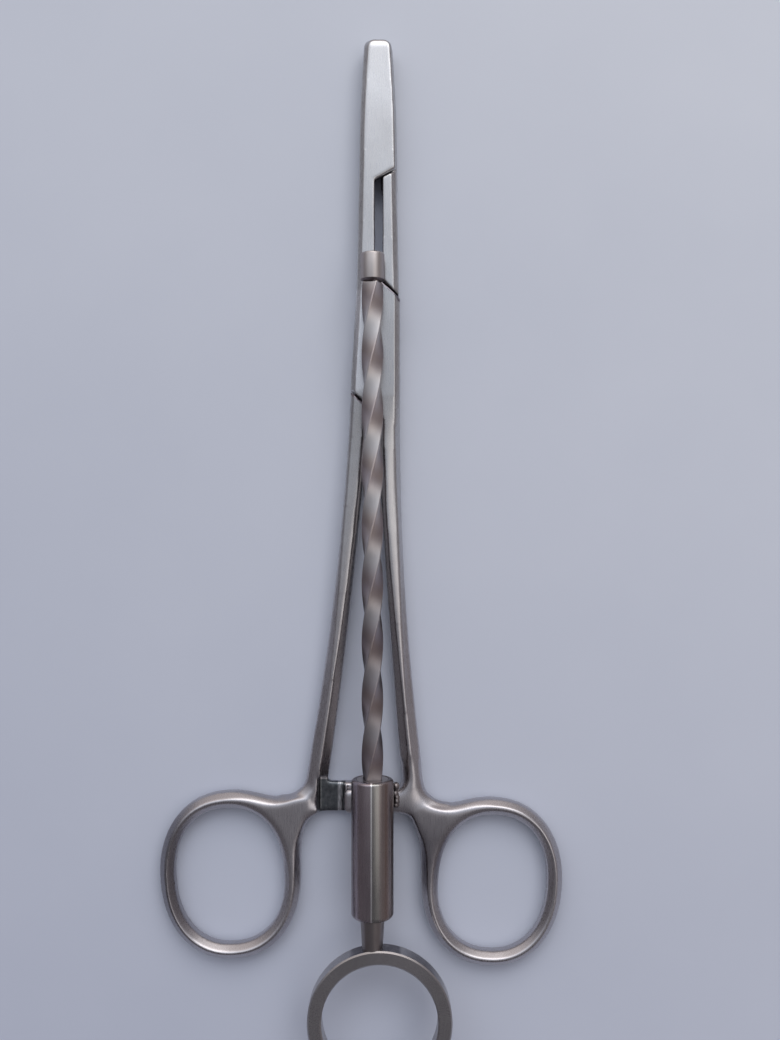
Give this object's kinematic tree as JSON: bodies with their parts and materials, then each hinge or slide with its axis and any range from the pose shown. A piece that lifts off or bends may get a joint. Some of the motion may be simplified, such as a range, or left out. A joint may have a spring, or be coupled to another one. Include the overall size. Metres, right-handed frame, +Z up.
{
  "type": "wire twister",
  "caption": "Box-lock wire twisting forceps with finger rings, a ratchet, a twisted square rod in a nutted barrel and a pull ring.",
  "frame": {"origin": "centre of the box lock's underside, under the pivot pin, on the surface that the instrument lies on", "axes": "+Y along the instrument towards the jaw tip, +X to the right seen from above, +Z up from the table"},
  "size_m": [0.0845, 0.2173, 0.0133],
  "materials": {
    "female_member": "satin stainless steel",
    "male_member": "satin stainless steel",
    "pivot_pin": "satin stainless steel, ground flush",
    "barrel": "turned stainless steel, slightly heat-tinted",
    "helical_nut": "machined stainless steel",
    "rear_bush": "machined stainless steel",
    "twisted_rod": "drawn and twisted stainless steel, worn smooth",
    "rod_head": "turned stainless steel",
    "neck": "turned stainless steel, tinted by brazing",
    "pull_ring": "darker stainless steel with ground flat faces"
  },
  "bodies": {
    "frame": {"female_member": "female_member", "pivot_pin": "pivot_pin", "barrel": "barrel", "helical_nut": "helical_nut", "rear_bush": "rear_bush"},
    "second_handle": {"male_member": "male_member"},
    "rod_carriage": {"rod_head": "rod_head"},
    "rod": {"twisted_rod": "twisted_rod", "neck": "neck", "pull_ring": "pull_ring"}
  },
  "joints": [
    {"name": "jaw_pivot", "type": "hinge", "parent": "frame", "child": "second_handle", "pos_m": [0, 0, 0.0031], "axis": [0, 0, -1], "range_deg": [0, 26]},
    {"name": "ring_pull", "type": "slide", "parent": "frame", "child": "rod_carriage", "axis": [0, -1, 0], "range_m": [0, 0.098]},
    {"name": "rod_spin", "type": "hinge", "parent": "rod_carriage", "child": "rod", "pos_m": [-0.0008, 0.0123, 0.00895], "axis": [0, -1, 0], "range_deg": [0, 751]}
  ],
  "couplings": [
    {"joint": "rod_spin", "follows": "ring_pull", "rad_per_m": 133.69}
  ]
}
